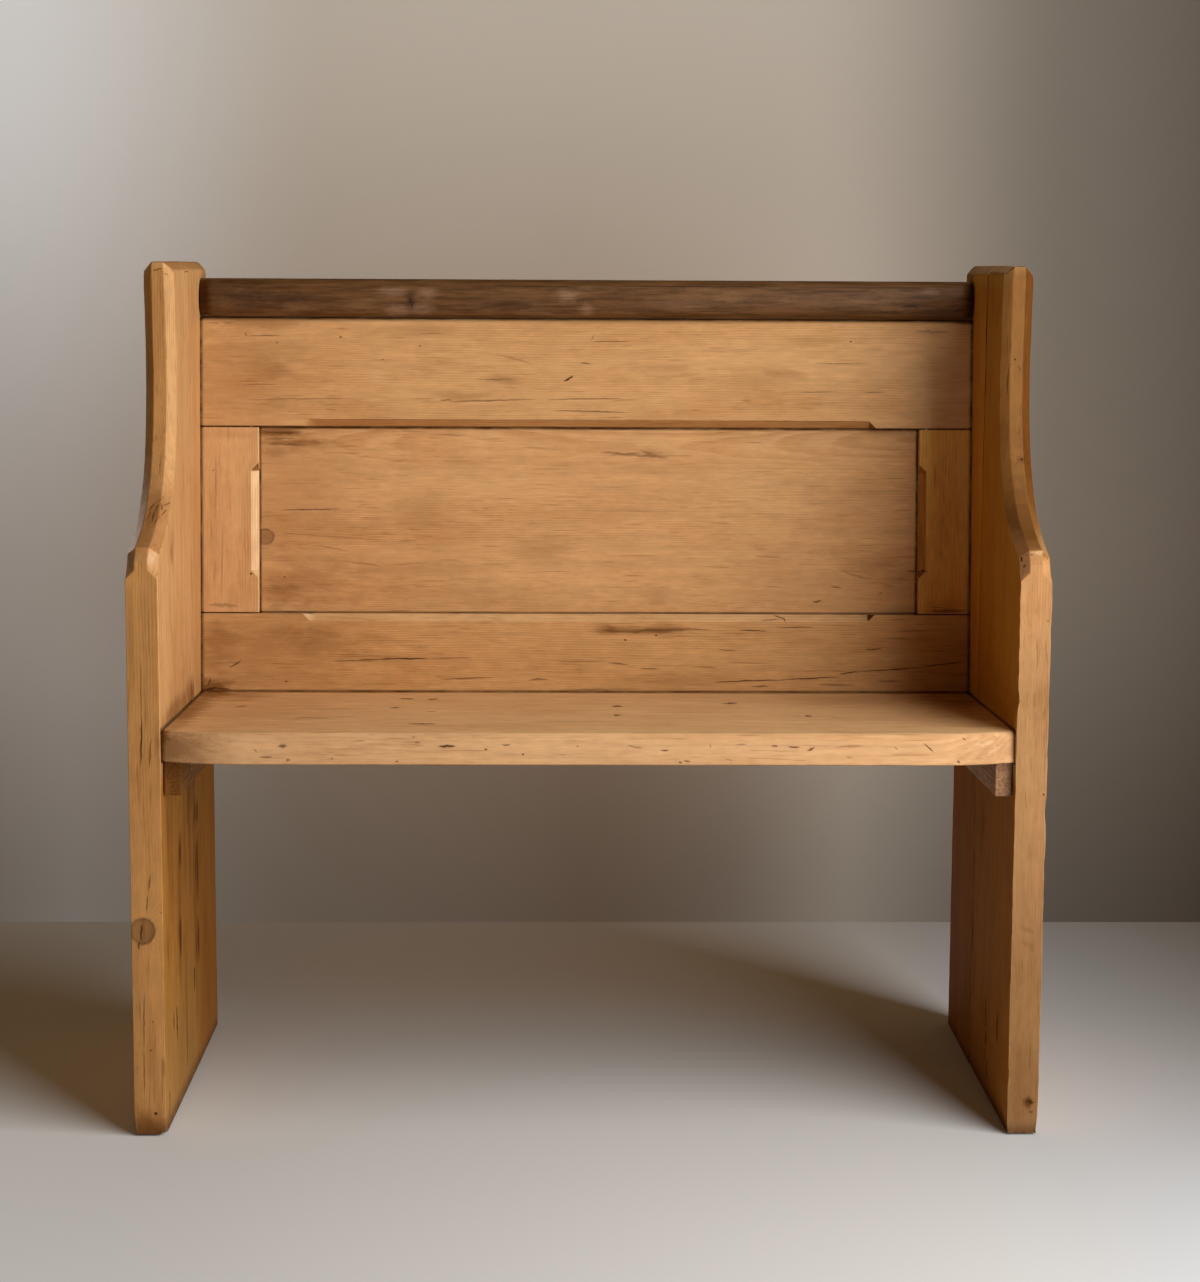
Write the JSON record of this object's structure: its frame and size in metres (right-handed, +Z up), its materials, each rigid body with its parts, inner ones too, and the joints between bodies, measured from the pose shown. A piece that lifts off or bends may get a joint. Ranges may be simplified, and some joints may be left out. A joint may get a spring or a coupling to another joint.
{
  "type": "pew bench",
  "caption": "Short pine pew: solid ends with swept front edges, a thick seat that falls to the back, and a raked framed back with a recessed panel under a bull-nosed cap rail.",
  "frame": {"origin": "on the floor, under the middle of the whole bench", "axes": "+X to the right of someone who faces the bench's front, +Y to the back of the bench, +Z up"},
  "size_m": [1, 0.4052, 0.9601],
  "materials": {
    "pine": "old oiled pine, satin",
    "pale_pine": "stripped pine, satin",
    "rough_pine": "rough sawn, unfinished",
    "dark_wood": "dark stained and worn",
    "screw_steel": "bright steel",
    "nail_iron": "dark iron"
  },
  "bodies": {
    "root": {"left_end_front_board": "pine", "left_end_rear_board": "pine", "left_end_tongue": "rough_pine", "right_end_front_board": "pine", "right_end_rear_board": "pine", "right_end_tongue": "rough_pine", "seat_board": "pale_pine", "left_seat_bearer": "rough_pine", "right_seat_bearer": "rough_pine", "top_rail": "pine", "bottom_rail": "pine", "left_stile": "pale_pine", "right_stile": "pale_pine", "back_panel": "pale_pine", "cap_rail": "dark_wood", "left_bearer_screw_front": "screw_steel", "left_bearer_screw_middle": "screw_steel", "left_bearer_screw_rear": "screw_steel", "right_bearer_screw_front": "screw_steel", "right_bearer_screw_middle": "screw_steel", "right_bearer_screw_rear": "screw_steel", "left_seat_screw_front": "screw_steel", "left_seat_screw_rear": "screw_steel", "right_seat_screw_front": "screw_steel", "right_seat_screw_rear": "screw_steel", "seat_back_screw_left": "screw_steel", "seat_back_screw_centre": "screw_steel", "seat_back_screw_right": "screw_steel", "left_top_rail_nail_1": "nail_iron", "left_top_rail_nail_2": "nail_iron", "left_bottom_rail_nail_1": "nail_iron", "left_bottom_rail_nail_2": "nail_iron", "right_top_rail_nail_1": "nail_iron", "right_top_rail_nail_2": "nail_iron", "right_bottom_rail_nail_1": "nail_iron", "right_bottom_rail_nail_2": "nail_iron", "cap_nail_1": "nail_iron", "cap_nail_2": "nail_iron", "cap_nail_3": "nail_iron", "cap_nail_4": "nail_iron"}
  },
  "joints": []
}
